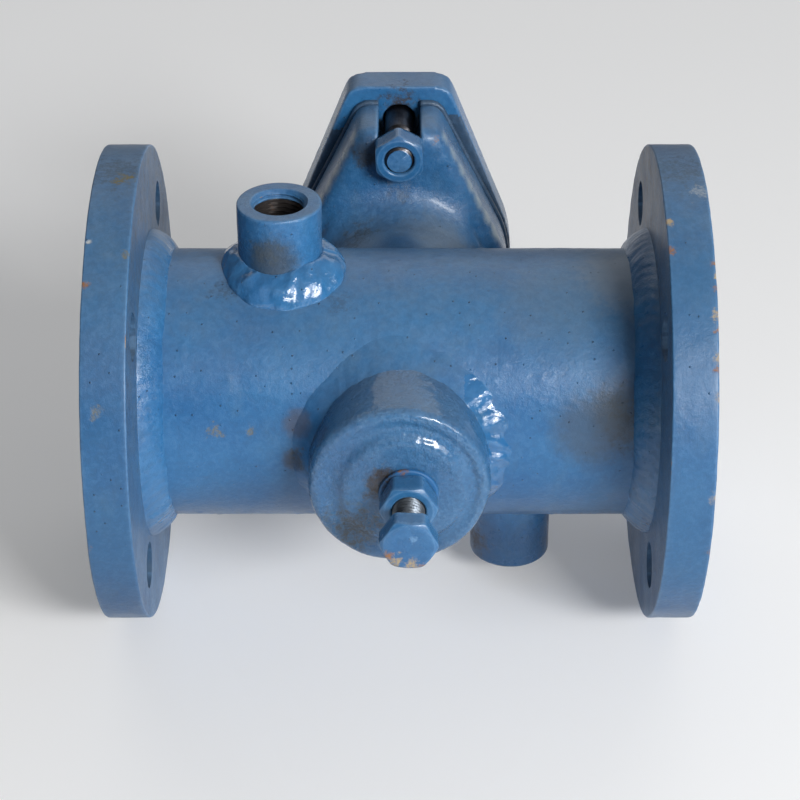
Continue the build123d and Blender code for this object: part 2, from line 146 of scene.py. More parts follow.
def add_camera():
    """The camera looks along +Y from the screw's side, about a third of a right angle above the pipe."""
    camera = add_object("camera", bpy.data.cameras.new("camera"))
    centre = Vector((CROSS_X, 0, 0)) * MM
    away = Vector((0, -math.cos(VIEW_ELEVATION), math.sin(VIEW_ELEVATION)))
    camera.location = centre + away * VIEW_DISTANCE * MM
    aim(camera, centre)
    camera.data.sensor_width = 36.0
    camera.data.lens = VIEW_LENS
    camera.data.shift_x, camera.data.shift_y = VIEW_SHIFT
    camera.data.clip_start = 0.01
    bpy.context.scene.camera = camera


def add_light(name, azimuth, elevation, distance, size, power, colour=(1, 1, 1)):
    """A soft panel, in metres, aimed at the trap; azimuth 0 is in front of it and 90 to its right."""
    data = bpy.data.lights.new(name, "AREA")
    data.shape = "RECTANGLE"
    data.size, data.size_y = size
    data.energy = power
    data.color = colour
    light = add_object(name, data)
    a, e = math.radians(azimuth), math.radians(elevation)
    reach = distance * math.cos(e)
    light.location = (CROSS_X * MM + reach * math.sin(a), -reach * math.cos(a), distance * math.sin(e))
    aim(light, (CROSS_X * MM, 0, 0))


def add_world():
    """A dim room, darker to the left and brighter to the right."""
    world = bpy.data.worlds.new("studio")
    world.use_nodes = True
    tree = world.node_tree
    where = tree.nodes.new("ShaderNodeTexCoord")
    split = tree.nodes.new("ShaderNodeSeparateXYZ")
    tree.links.new(where.outputs["Generated"], split.inputs[0])
    side = tree.nodes.new("ShaderNodeMapRange")
    set_inputs(side, From_Min=-0.9, From_Max=0.9, To_Min=0.05, To_Max=0.24)
    tree.links.new(split.outputs[0], side.inputs["Value"])
    background = tree.nodes["Background"]
    set_inputs(background, Color=(0.95, 0.97, 1.0, 1))
    tree.links.new(side.outputs[0], background.inputs["Strength"])
    bpy.context.scene.world = world


def add_floor():
    """A pale, softly lit table under the flange rims."""
    floor_z = -FLANGE_R * MM - FLOOR_GAP
    corners = [(x * FLOOR_HALF, y * FLOOR_HALF, floor_z) for x, y in ((-1, -1), (1, -1), (1, 1), (-1, 1))]
    mesh = bpy.data.meshes.new("floor")
    mesh.from_pydata(corners, [], [(0, 1, 2, 3)])
    paper = bpy.data.materials.new("floor_paper")
    paper.use_nodes = True
    set_inputs(
        paper.node_tree.nodes["Principled BSDF"], Base_Color=(0.80, 0.80, 0.80, 1), Roughness=0.9,
        Specular_IOR_Level=0.1, Emission_Color=(1, 1, 1, 1), Emission_Strength=FLOOR_GLOW,
    )
    mesh.materials.append(paper)
    add_object("floor", mesh)


def add_stage():
    """The room, the table and the lights: two on the right, a weak one in front and a broad one behind."""
    add_world()
    add_floor()
    bpy.context.scene.view_settings.view_transform = "Standard"
    add_light("key", 30, 28, 1.7, (0.55, 0.28), 24.5)
    add_light("window", 52, 22, 2.2, (0.9, 0.6), 14, (0.97, 0.98, 1.0))
    add_light("front", -8, 40, 3.0, (2.4, 1.4), 4)
    add_light("behind", 180, 38, 2.4, (3.6, 1.6), 17)


# ------------------------------ mesh helpers
LATTICE_SIZE = 48
LATTICE = np.random.default_rng(11).random((LATTICE_SIZE,) * 3)
WELD_GAP = 0.00002  # metres
SHARP_ANGLE = math.radians(48)


def noise(points, size, octaves=2, seed=0):
    """Smooth noise from -1 to 1 at each point; size is the largest feature, in millimetres."""
    total = np.zeros(points.shape[:-1])
    weight_sum = 0.0
    for octave in range(octaves):
        place = points / size * 2 ** octave + 7.31 * (seed + 1) + 3.7 * octave
        cell = np.floor(place).astype(int)
        part = place - cell
        part = part * part * (3 - 2 * part)
        value = np.zeros(points.shape[:-1])
        for corner in np.ndindex(2, 2, 2):
            share = np.ones(points.shape[:-1])
            for axis in range(3):
                share = share * (part[..., axis] if corner[axis] else 1 - part[..., axis])
            index = (cell + np.array(corner)) % LATTICE_SIZE
            value += share * LATTICE[index[..., 0], index[..., 1], index[..., 2]]
        total += (2 * value - 1) * 0.5 ** octave
        weight_sum += 0.5 ** octave
    return total / weight_sum


def smoothstep(value, low, high):
    """0 below low, 1 above high, smooth between."""
    part = np.clip((value - low) / (high - low), 0, 1)
    return part * part * (3 - 2 * part)


def grid_piece(name, points, closed_rows=True):
    """An object from a (rows, columns, 3) grid of points in millimetres that closes along its columns."""
    rows, cols = points.shape[:2]
    index = np.arange(rows * cols).reshape(rows, cols)
    down = np.roll(index, -1, axis=0)
    quads = np.stack([index, np.roll(index, -1, axis=1), np.roll(down, -1, axis=1), down], axis=-1)
    faces = quads[: rows if closed_rows else rows - 1].reshape(-1, 4)
    mesh = bpy.data.meshes.new(name)
    mesh.from_pydata((points.reshape(-1, 3) * MM).tolist(), [], faces.tolist())
    mesh.validate()
    obj = add_object(name, mesh)
    finish_mesh(obj)
    return obj


def finish_mesh(obj):
    """Welds doubled points, turns the faces outwards and shades smooth with sharp corners kept."""
    mesh = bmesh.new()
    mesh.from_mesh(obj.data)
    bmesh.ops.remove_doubles(mesh, verts=mesh.verts, dist=WELD_GAP)
    bmesh.ops.dissolve_degenerate(mesh, edges=mesh.edges, dist=WELD_GAP / 4)
    bmesh.ops.recalc_face_normals(mesh, faces=mesh.faces)
    mesh.to_mesh(obj.data)
    mesh.free()
    obj.data.shade_smooth()
    obj.data.set_sharp_from_angle(angle=SHARP_ANGLE)


def grid_normals(points):
    """Unit normals of a grid that closes along its rows and columns."""
    along = np.roll(points, -1, axis=1) - np.roll(points, 1, axis=1)
    across = np.roll(points, -1, axis=0) - np.roll(points, 1, axis=0)
    normal = np.cross(across, along)
    return normal / np.maximum(np.linalg.norm(normal, axis=-1, keepdims=True), 1e-9)


def rounded(corners, step):
    """A dense closed outline from (along, radius, rounding) corners."""
    corners = [(np.array(c[:2], float), c[2]) for c in corners]
    dense = []
    for i, (point, rounding) in enumerate(corners):
        if rounding <= 0:
            dense.append(point)
            continue
        before = corners[i - 1][0] - point
        after = corners[(i + 1) % len(corners)][0] - point
        u, v = before / np.linalg.norm(before), after / np.linalg.norm(after)
        half = math.acos(np.clip(u @ v, -1, 1)) / 2
        reach = rounding / math.tan(half)
        start, end = point + u * reach, point + v * reach
        count = max(4, int(rounding * (math.pi - 2 * half) / min(step, rounding / 3)))
        for t in np.linspace(0, 1, count + 1):
            dense.append((1 - t) ** 2 * start + 2 * t * (1 - t) * point + t ** 2 * end)
    outline = []
    for a, b in zip(dense, dense[1:] + dense[:1]):
        count = max(1, int(math.ceil(np.linalg.norm(b - a) / step)))
        outline += [a + (b - a) * t for t in np.arange(count) / count]
    return np.array(outline)


def circle(count):
    """That many angles, evenly round a turn."""
    return np.arange(count) / count * TAU


def turned(radius, along, angle, axis):
    """Points that far from an axis and along it, at an angle round it."""
    parts = [radius * np.cos(angle), radius * np.sin(angle)]
    parts.insert("xyz".index(axis), along)
    return np.stack(np.broadcast_arrays(*parts), axis=-1)


def lathe(outline, axis, centre, segments):
    """Turns an outline of (along, radius) about an axis; returns a (rows, segments, 3) grid."""
    return turned(outline[:, 1:], outline[:, :1], circle(segments), axis) + np.array(centre, float)


def cutter_rod(axis, centre, radius, start, end, segments=64):
    """A closed cylinder to cut with."""
    outline = np.array([(start, 0.0), (start, radius), (end, radius), (end, 0.0)])
    return grid_piece("cutter", lathe(outline, axis, centre, segments), closed_rows=False)


def bake_modifiers(obj):
    """Applies every modifier of obj to its mesh."""
    bpy.context.view_layer.update()
    evaluated = obj.evaluated_get(bpy.context.evaluated_depsgraph_get())
    mesh = bpy.data.meshes.new_from_object(evaluated)
    obj.modifiers.clear()
    obj.data = mesh


def cut(obj, cutters):
    """Takes the cutters out of obj and deletes them."""
    for cutter in cutters:
        modifier = obj.modifiers.new("cut", "BOOLEAN")
        modifier.operation = "DIFFERENCE"
        modifier.solver = "EXACT"
        modifier.object = cutter
    bake_modifiers(obj)
    for cutter in cutters:
        bpy.data.objects.remove(cutter)
    finish_mesh(obj)


def read_vectors(items, key):
    """A vector from each item of a mesh's list, as rows."""
    flat = np.zeros(len(items) * 3)
    items.foreach_get(key, flat)
    return flat.reshape(-1, 3)


def coordinates(obj):
    """The object's points, in millimetres."""
    return read_vectors(obj.data.vertices, "co") / MM


def smooth_points(obj, rounds, group=""):
    """Adds a modifier that evens out the points, or only those of a vertex group."""
    smooth = obj.modifiers.new("smooth", "SMOOTH")
    smooth.factor, smooth.iterations, smooth.vertex_group = 0.5, rounds, group


def soft_copy(name, node, voxel, rounds, grain, grain_size, melt=None):
    """A CAD node's shape as a casting: remeshed, with rounded edges and a slightly uneven skin.

    melt, if given, picks the points that are rounded off further, as weights from 0 to 1.
    """
    obj = add_object(name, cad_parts[node].data.copy())
    obj.data.materials.clear()
    remesh = obj.modifiers.new("remesh", "REMESH")
    remesh.mode = "VOXEL"
    remesh.voxel_size = voxel * MM
    smooth_points(obj, rounds)
    bake_modifiers(obj)
    if melt:
        group = obj.vertex_groups.new(name="melt")
        for index, weight in enumerate(melt(coordinates(obj))):
            if weight > 0.02:
                group.add([index], float(weight), "REPLACE")
        smooth_points(obj, 60, "melt")
        bake_modifiers(obj)
        obj.vertex_groups.clear()
    points = coordinates(obj)
    height = grain * noise(points, grain_size, 3, 5) + 2 * grain * noise(points, 8 * grain_size, 2, 6)
    points += read_vectors(obj.data.vertex_normals, "vector") * height[:, None]
    obj.data.vertices.foreach_set("co", (points * MM).ravel())
    obj.data.update()
    obj.data.shade_smooth()
    return obj


def mark_edges(obj, rounds):
    """Stores how convex each point is in the attribute 'edge', from 0 on flat skin to 1 on a corner."""
    mesh = obj.data
    count = len(mesh.vertices)
    points, normals = coordinates(obj), read_vectors(mesh.vertex_normals, "vector")
    pairs = np.zeros(len(mesh.edges) * 2, int)
    mesh.edges.foreach_get("vertices", pairs)
    a, b = pairs.reshape(-1, 2).T
    degree = np.maximum(np.bincount(np.concatenate([a, b]), minlength=count), 1)
    span = points[b] - points[a]
    square = np.maximum(np.linalg.norm(span, axis=1), 1e-6) ** 2

    def average(at_a, at_b):
        return (np.bincount(a, at_a, count) + np.bincount(b, at_b, count)) / degree

    falls = [side * np.einsum("ij,ij->i", span, normals[end]) / square for side, end in ((-1, a), (1, b))]
    curve = average(*falls)
    for _ in range(rounds):
        curve = (curve + average(curve[b], curve[a])) / 2
    attribute = mesh.attributes.new("edge", "FLOAT", "POINT")
    attribute.data.foreach_set("value", np.clip(curve * 1.6, 0, 1).astype(np.float32))


def paint_faces(obj, materials, chooser=None):
    """Gives obj its materials; chooser picks each face's slot from the face centres in millimetres."""
    obj.data.materials.clear()
    for material in materials:
        obj.data.materials.append(material)
    if chooser:
        slots = chooser(read_vectors(obj.data.polygons, "center") / MM)
        obj.data.polygons.foreach_set("material_index", slots.astype(np.int32))


def place(obj, node, slot, materials, chooser=None, body="body", edges=2):
    """Puts a finished piece in the frame: its looks, body and the CAD node it stands for; slot, its finish,
    is not used.

    edges is how far the marks of its worn edges and their painted highlight spread; 0 leaves them out.
    """
    if edges:
        mark_edges(obj, edges)
    paint_faces(obj, materials, chooser)
    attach(obj, body)
    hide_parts(node)


# ------------------------------ materials
class Shader:
    """A helper that builds one node material."""

    def __init__(self, name):
        self.material = bpy.data.materials.new(name)
        self.material.use_nodes = True
        self.tree = self.material.node_tree
        self.surface = self.tree.nodes["Principled BSDF"]
        self.place = self.node("ShaderNodeTexCoord").outputs["Object"]
        self.ragged = self.noise(3.2, 6.0, 0.72)
        self.crumbs = self.ramp(self.noise(1.1, 4.0, 0.7), 0.36, 0.56, 0.25, 1.0)

    def put(self, value, socket):
        """Links or sets a socket."""
        if isinstance(value, bpy.types.NodeSocket):
            self.tree.links.new(value, socket)
        else:
            socket.default_value = (*value, 1) if socket.type == "RGBA" else value

    def node(self, kind, inputs=None, **settings):
        """A node with its settings and inputs."""
        made = self.tree.nodes.new(kind)
        for key, value in settings.items():
            setattr(made, key, value)
        for key, value in (inputs or {}).items():
            self.put(value, made.inputs[key])
        return made

    def noise(self, size, detail, rough=0.55, stretch=None):
        """Noise with features of about that size, in millimetres; from 0 to 1."""
        where = self.place
        if stretch:
            where = self.node("ShaderNodeMapping", {"Vector": where, "Scale": stretch}).outputs[0]
        inputs = {"Vector": where, "Scale": 1 / (size * MM), "Detail": detail, "Roughness": rough}
        return self.node("ShaderNodeTexNoise", inputs).outputs[0]

    def math(self, operation, first, second, clamp=False):
        """One maths step."""
        made = self.node("ShaderNodeMath", {0: first, 1: second}, operation=operation, use_clamp=clamp)
        return made.outputs[0]

    def plus(self, first, second, clamp=False):
        """A sum."""
        return self.math("ADD", first, second, clamp)

    def times(self, first, second):
        """A product."""
        return self.math("MULTIPLY", first, second)

    def ramp(self, value, low, high, start=0.0, end=1.0):
        """A smooth step from start to end as value goes from low to high."""
        inputs = {"Value": value, "From Min": low, "From Max": high, "To Min": start, "To Max": end}
        return self.node("ShaderNodeMapRange", inputs, interpolation_type="SMOOTHSTEP").outputs[0]

    def mix(self, share, first, second):
        """A colour between two."""
        return self.node("ShaderNodeMix", {"Factor": share, 6: first, 7: second}, data_type="RGBA").outputs[2]

    def split(self, vector):
        """The three parts of a vector."""
        return self.node("ShaderNodeSeparateXYZ", {0: vector}).outputs

    def inward(self, centre, radius, torn):
        """How far inside a ball a place is: 1 at its middle, 0 on its skin, which torn breaks up."""
        inputs = {0: self.place, 1: tuple(c * MM for c in centre)}
        distance = self.node("ShaderNodeVectorMath", inputs, operation="DISTANCE").outputs["Value"]
        depth = self.math("SUBTRACT", 1.0, self.math("DIVIDE", distance, radius * MM))
        return self.plus(depth, self.times(self.math("SUBTRACT", self.ragged, 0.5), torn))

    def spot(self, centre, radius):
        """A broken patch round a point given in millimetres: 1 inside, 0 outside."""
        return self.times(self.ramp(self.inward(centre, radius, 3.4), 0.2, 0.9), self.crumbs)

    def haze(self, centre, radius):
        """A soft patch round a point given in millimetres, fading from 1 to 0."""
        return self.ramp(self.inward(centre, radius, 0.6), 0.0, 0.6)

    def bump(self, height, strength, distance, onto=None):
        """Bumps the surface; returns the new normal."""
        inputs = {"Height": height, "Strength": strength, "Distance": distance * MM}
        if onto:
            inputs["Normal"] = onto
        return self.node("ShaderNodeBump", inputs).outputs[0]

    def finish(self, **values):
        """Sets the surface's sockets, with _ for each space in their names, and returns the material."""
        for key, value in values.items():
            self.put(value, self.surface.inputs[key.replace("_", " ")])
        return self.material


BLUE = (0.030, 0.150, 0.335)
BLUE_DEEP = (0.018, 0.115, 0.285)
BLUE_GREY = (0.065, 0.158, 0.275)
RUST = (0.26, 0.12, 0.045)
PRIMER = (0.36, 0.28, 0.17)
# dark grime, also the colour of painted shade and painted shadows
GRIME_AND_SHADE = (0.03, 0.038, 0.048)
OCHRE = (0.17, 0.15, 0.075)
# stains, also the colour of painted shadows
STAIN_AND_SHADOW = (0.062, 0.072, 0.072)
# dust, also used as painted sheen on faces lit from above
DUST_AND_SHEEN = (0.15, 0.2, 0.245)
# pale flecks in the paint, also the colour of painted highlights
FLECK_AND_HIGHLIGHT = (0.13, 0.27, 0.46)
SOOT = (0.085, 0.088, 0.092)
# rusty crust, also darkened as painted shade of gaps
CRUST_AND_SHADE = (0.03, 0.022, 0.02)
CHALK = (0.42, 0.45, 0.46)
# painted shade: the colour laid on undersides and shaded corners
PAINTED_SHADE = (0.012, 0.06, 0.15)


def enamel(
    name, rough=0.28, grain=0.22, grain_size=2.4, wear=0.0, grit=0.2, marks=(), coat=0.15, dust_sheen=0.35,
    mottle=0.12, soot=None, crisp=0.75, shade=0.0, edge_sheen=0.3, hazes=(),
):
    """Brushed-on blue enamel: uneven tone, orange peel, grit under the paint, chipped edges and marks, with
    painted sheen on top faces, painted shade below and painted highlights on edges.

    marks and hazes are lists of (centre, radius, colour, strength); marks are broken and matt, hazes soft.
    soot is the heights it grows between, in millimetres.
    shade darkens the paint all over (painted shade on hole walls and joint); edge_sheen is how pale rounded
    edges are made, a painted highlight.
    """
    s = Shader(name)
    tone = s.mix(s.ramp(s.noise(34, 3.0), 0.35, 0.68), BLUE, BLUE_DEEP)
    tone = s.mix(s.ramp(s.noise(12, 6.0, 0.62, stretch=(1, 1, 0.5)), 0.5, 0.8, 0.0, 0.5), tone, BLUE_GREY)
    tone = s.mix(shade, tone, GRIME_AND_SHADE)
    up = s.split(s.node("ShaderNodeNewGeometry").outputs["Normal"])[2]
    # faces turned upwards are paler: dust, and painted sheen of the light from above
    dust_and_sheen = s.times(s.ramp(up, 0.35, 1.0, 0.0, dust_sheen), s.ramp(s.noise(7, 6.0, 0.7), 0.25, 0.75, 0.4, 1.0))
    tone = s.mix(dust_and_sheen, tone, DUST_AND_SHEEN)
    # painted shade: faces turned downwards are darkened
    tone = s.mix(s.ramp(up, -0.2, -0.9, 0.0, 0.55), tone, PAINTED_SHADE)
    if soot:
        settled = s.ramp(s.split(s.place)[2], soot[0] * MM, soot[1] * MM, 0.25, 0.9)
        streaks = s.ramp(s.noise(2.2, 6.0, 0.8, stretch=(1, 1, 0.4)), 0.34, 0.6, 1.0, 0.2)
        tone = s.mix(s.times(settled, streaks), tone, SOOT)
    peel = s.noise(grain_size, 5.0, crisp)
    fleck = s.ramp(peel, 0.36, 0.66, -mottle, mottle)
    tone = s.mix(s.math("MAXIMUM", fleck, 0.0), tone, FLECK_AND_HIGHLIGHT)
    tone = s.mix(s.math("MAXIMUM", s.times(fleck, -1.0), 0.0), tone, GRIME_AND_SHADE)
    cells = s.node("ShaderNodeTexVoronoi", {"Vector": s.place, "Scale": 1 / (3.3 * MM)}).outputs
    pick = s.split(cells["Color"])[0]
    speck = s.times(s.ramp(cells["Distance"], 0.14, 0.04), s.math("GREATER_THAN", pick, 1 - grit))
    height = s.plus(s.times(peel, grain), s.times(speck, 0.5))
    tone = s.mix(s.times(speck, 0.55), tone, GRIME_AND_SHADE)
    edge = s.node("ShaderNodeAttribute", attribute_name="edge").outputs["Fac"]
    # painted highlight: rounded convex edges are lightened
    edge_highlight = s.times(s.ramp(edge, 0.05, 0.3), s.ramp(peel, 0.3, 0.6, 0.3 * edge_sheen, edge_sheen))
    tone = s.mix(edge_highlight, tone, FLECK_AND_HIGHLIGHT)
    chip = s.plus(edge, s.ramp(s.noise(21, 3.0), 0.45, 0.72, -0.5, 0.3))
    chip = s.ramp(s.plus(chip, s.times(s.ragged, 0.9)), 1.62 - wear, 1.72 - wear)
    metal = s.mix(s.ramp(s.noise(3.0, 5.0, 0.7), 0.42, 0.6), PRIMER, RUST)
    worn = s.times(chip, 1.0 if wear > 0 else 0.0)
    tone = s.mix(worn, tone, metal)
    for centre, radius, colour, strength in hazes:
        tone = s.mix(s.times(s.haze(centre, radius), strength), tone, colour)
    for centre, radius, colour, strength in marks:
        patch = s.times(s.spot(centre, radius), strength)
        tone = s.mix(patch, tone, colour)
        worn = s.math("MAXIMUM", worn, patch)
    gloss = s.plus(rough, s.ramp(s.noise(16, 4.0), 0.3, 0.8, -0.04, 0.12))
    gloss = s.plus(gloss, s.times(dust_and_sheen, 0.35))
    gloss = s.plus(gloss, s.times(worn, 0.42), clamp=True)
    normal = s.bump(height, 1.0, 0.8)
    normal = s.bump(s.math("SUBTRACT", 1.0, worn), 0.5, 0.2, normal)
    return s.finish(Base_Color=tone, Roughness=gloss, Normal=normal, Coat_Weight=coat, Coat_Roughness=0.16)


def bare_metal(name, colour, dark, rough, metal=1.0, rust=0.0, lines=None, rings=0.0):
    """Bare metal with uneven tone; lines is the stretch of its machining marks.

    rings, if given, is the pitch in millimetres of turned grooves round the pipe axis.
    """
    s = Shader(name)
    streak = s.noise(0.5, 3.0, 0.6, stretch=lines)
    if rings:
        inputs = {"Vector": s.place, "Scale": TAU / (20 * rings * MM), "Distortion": 0.6, "Detail": 1.0}
        grooves = s.node("ShaderNodeTexWave", inputs, wave_type="RINGS", rings_direction="X").outputs["Fac"]
        streak = s.ramp(s.plus(streak, grooves), 0.2, 1.6)
    tone = s.mix(s.ramp(s.noise(6.0, 4.0), 0.35, 0.7), colour, dark)
    tone = s.mix(s.times(s.ramp(streak, 0.4, 0.7), 0.4), tone, dark)
    stain = s.ramp(s.noise(5.0, 5.0, 0.7), 0.62 - rust * 0.3, 0.72 - rust * 0.25, 0.0, min(1.0, rust * 2))
    tone = s.mix(stain, tone, RUST)
    gloss = s.plus(s.ramp(streak, 0.2, 0.8, rough - 0.08, rough + 0.12), s.times(stain, 0.35), clamp=True)
    shine = s.math("SUBTRACT", metal, s.times(stain, 0.8 * metal), clamp=True)
    return s.finish(Base_Color=tone, Roughness=gloss, Metallic=shine, Normal=s.bump(streak, 0.25, 0.15))


def seal_material():
    """The fibre washer: painted over, dark and rusty where the paint has cracked at its upper left, darkened
    there as painted shade of the gap.
    """
    s = Shader("seal_fibre")
    tone = s.mix(s.spot((SCREW_X - 7.5, -78, 7.5), 9.5), BLUE_DEEP, CRUST_AND_SHADE)
    tone = s.mix(s.spot((SCREW_X - 3, -78, 11), 4.0), tone, RUST)
    return s.finish(Base_Color=tone, Roughness=0.5, Normal=s.bump(s.noise(0.8, 3.0), 0.5, 0.3))


# ------------------------------ flanges and tube
def on_tube(angle_up, x):
    """A point on the tube; the angle is counted from the front, upwards, in degrees."""
    angle = math.radians(angle_up)
    return (x, -TUBE_R * math.cos(angle), TUBE_R * math.sin(angle))


def flange_piece(name, start, facing, seed):
    """A plate flange: rounded rim, raised face, bore and four bolt holes, with a hand-cut unevenness."""
    shoulder = FLANGE_THICK - RAISED_H
    outline = rounded([
        (0, FLANGE_BORE_R, 0.6), (FLANGE_THICK, FLANGE_BORE_R, 1.0), (FLANGE_THICK, RAISED_R, 0.5),
        (shoulder, RAISED_R, 0.4), (shoulder, FLANGE_R, 1.2), (0, FLANGE_R, 0.9),
    ], 1.5)
    outline[:, 0] = start + facing * outline[:, 0]
    points = lathe(outline, "x", (0, 0, 0), 320)
    outer = smoothstep(np.linalg.norm(points[..., 1:], axis=-1), RAISED_R + 1, RAISED_R + 6)
    dent = 0.34 * noise(points, 26, 2, seed) + 0.24 * noise(points, 6, 3, seed + 1)
    points += grid_normals(points) * (facing * outer * (dent - 0.4) * 0.55)[..., None]
    obj = grid_piece(name, points)
    low, high = sorted((start - facing * 5, start + facing * (FLANGE_THICK + 5)))
    cut(obj, [
        cutter_rod("x", turned(BOLT_CIRCLE_R, 0, angle, "x"), BOLT_HOLE_R, low, high)
        for angle in np.radians([45, 135, 225, 315])
    ])
    return obj


def flange_faces(start, facing):
    """Chooses slots: 1 raised face and bore, 2 the face towards the tube, 3 the bolt holes, 0 elsewhere."""
    def choose(centres):
        radius = np.linalg.norm(centres[:, 1:], axis=1)
        depth = (centres[:, 0] - start) * facing
        face = (depth > FLANGE_THICK - 0.6) & (radius < RAISED_R + 0.2)
        bore = radius < FLANGE_BORE_R + 0.5
        inner = (depth < 0.5) & (radius < FLANGE_R - 1.0)
        reach = BOLT_CIRCLE_R * math.sqrt(0.5)
        hole = np.hypot(np.abs(centres[:, 1]) - reach, np.abs(centres[:, 2]) - reach) < BOLT_HOLE_R + 0.1
        return np.select([face | bore, hole, inner], [1, 3, 2], 0)
    return choose


def tube_piece():
    """The body tube: a pitted outer skin, a low sag line along the front, and the holes of its branches."""
    low, high = (corner[0] for corner in box_mm("body_tube"))
    inner = TUBE_R - TUBE_WALL
    outline = rounded([(low, inner, 0), (high, inner, 0), (high, TUBE_R, 0), (low, TUBE_R, 0)], 1.15)
    points = lathe(outline, "x", (0, 0, 0), 288)
    radius = np.linalg.norm(points[..., 1:], axis=-1)
    skin = smoothstep(radius, TUBE_R - 0.6, TUBE_R - 0.1)
    lumps = 0.10 * noise(points, 30, 2, 3) + 0.07 * noise(points, 4.5, 2, 4)
    drops = np.clip(noise(points, 3.4, 1, 8) - 0.62, 0, 1) * 0.9
    level = np.degrees(np.arctan2(points[..., 2], -points[..., 1]))
    line = -3.5 + 2.2 * noise(points * (1, 0, 0), 22, 2, 9)
    sag = 0.34 * np.exp(-((level - line) / 1.1) ** 2) * (0.6 + 0.6 * noise(points, 5, 2, 10))
    front = smoothstep(-points[..., 1], 30, 45)
    points += grid_normals(points) * (skin * (lumps + drops + sag * front))[..., None]
    obj = grid_piece("body_tube_skin", points)
    past = TUBE_R + 4
    cut(obj, [
        cutter_rod("z", (TOP_PORT_X, 0, 0), PORT_HOLE_R, 30, past, 48),
        cutter_rod("z", (BOTTOM_PORT_X, 0, 0), PORT_HOLE_R, -past, -30, 48),
        cutter_rod("y", (CROSS_X, 0, 0), CAP_HOLE_R, -past, -20, 72),
        cutter_rod("y", (CROSS_X, 0, 0), BRANCH_HOLE_R, 20, past, 72),
    ])
    return obj


# ------------------------------ weld beads
BEAD_ROWS = 22
RIPPLE_PITCH = 4.4


def bead_skin(angle, radius, seed):
    """A bead's rows from toe to toe: turn, run along the bead in mm, share across, crown and swell."""
    turn = np.linspace(0, math.pi / 2, BEAD_ROWS)[:, None]
    run, across = np.broadcast_arrays(angle * radius, turn / (math.pi / 2))
    swell = noise(np.stack([run, across * 9, 0 * run], -1), 9, 3, seed + 4)
    return turn, run, across, np.sin(across * math.pi) ** 0.6, swell


def bead_ripple(run, across, seed):
    """The height of a bead's ripples: crescents that trail back towards the toes."""
    trail = run / RIPPLE_PITCH - 3.2 * (across - 0.5) ** 2
    trail = trail + 0.35 * noise(np.stack([run, across * 6, 0 * run], -1), 9, 2, seed)
    return (np.abs(trail % 1 - 0.5) * 2) ** 0.7


def add_root(rows, value):
    """A bead's rows closed by one more, inside the metal."""
    return np.vstack([rows, np.full(rows.shape[1], value)])


def flange_bead(name, start, facing, seed):
    """The fillet bead between a flange and the tube."""
    angle = circle(620)
    spin = turned(TUBE_R, 0, angle, "x")
    leg_x = 9.3 + 1.1 * noise(spin, 30, 2, seed) + 0.5 * noise(spin, 7, 1, seed + 1)
    leg_r = 8.6 + 1.0 * noise(spin, 34, 2, seed + 2)
    turn, run, across, crown, swell = bead_skin(angle, TUBE_R, seed)
    lift = 0.7 * crown * (0.2 * bead_ripple(run, across, seed) + 0.9 * swell)
    along = add_root(start + facing * (leg_x * np.cos(turn) ** 1.55 - 0.35 + lift), start - facing * 1.5)
    radius = add_root(TUBE_R - 0.4 + leg_r * np.sin(turn) ** 1.55 + lift, TUBE_R - 2.5)
    return grid_piece(name, turned(radius, along, angle, "x"))


def saddle_height(across_pipe, radius=TUBE_R):
    """How far the tube's skin stands from the pipe's middle plane, that far across the pipe."""
    return np.sqrt(np.maximum(radius ** 2 - across_pipe ** 2, 1.0))


def post_bead(name, axis, sign, x, post_radius, wide, tall, seed, lumps, convex, ripple):
    """The bead round a post's foot on the tube; wide, tall and lumps take the angle round it, in degrees."""
    angle = circle(int(TAU * (post_radius + 4) / 0.62))
    degrees = np.degrees(angle)
    spin = turned(post_radius, 0, angle, "z")
    reach = wide(degrees) * (1 + 0.16 * noise(spin, 16, 2, seed)) + 0.5 * noise(spin, 4, 1, seed + 1)
    climb = tall(degrees) * (1 + 0.14 * noise(spin, 14, 2, seed + 2)) + 0.4 * noise(spin, 4, 1, seed + 3)
    turn, run, across, crown, swell = bead_skin(angle, post_radius, seed)
    fold = 1 - 2.4 * np.abs(noise(np.stack([run + 7 * across, across * 5, 0 * run], -1), 6, 2, seed + 6))
    lift = crown * (ripple * bead_ripple(run, across, seed) + lumps(degrees) * (0.3 + swell + 0.45 * fold))
    out = add_root(post_radius - 0.3 + reach * np.sin(turn) ** convex + lift * 0.6, post_radius - 2.0)
    high = add_root(climb * np.cos(turn) ** convex - 0.3 + lift * 0.75, -2.0)
    points = turned(out, saddle_height(out * np.sin(angle)) + high, angle, "z")
    up = np.array([0, 0, sign] if axis == "z" else [0, sign, 0])
    pipe = np.array([1, 0, 0])
    return grid_piece(name, points @ np.array([pipe, np.cross(up, pipe), up]) + (x, 0, 0))


def bump_at(degrees, where, width, height):
    """A smooth swelling of that height at an angle, wrapped round the circle."""
    away = (degrees - where + 180) % 360 - 180
    return height * np.exp(-(away / width) ** 2)


# ------------------------------ ports, cap, branch and cover
def v_thread(along, angle, pitch, depth):
    """How far a V thread cuts in, at a place along and round its axis."""
    wave = np.abs(((along / pitch - angle / TAU) % 1) - 0.5) * 2
    return depth * np.clip(wave * 1.25 - 0.12, 0, 1)


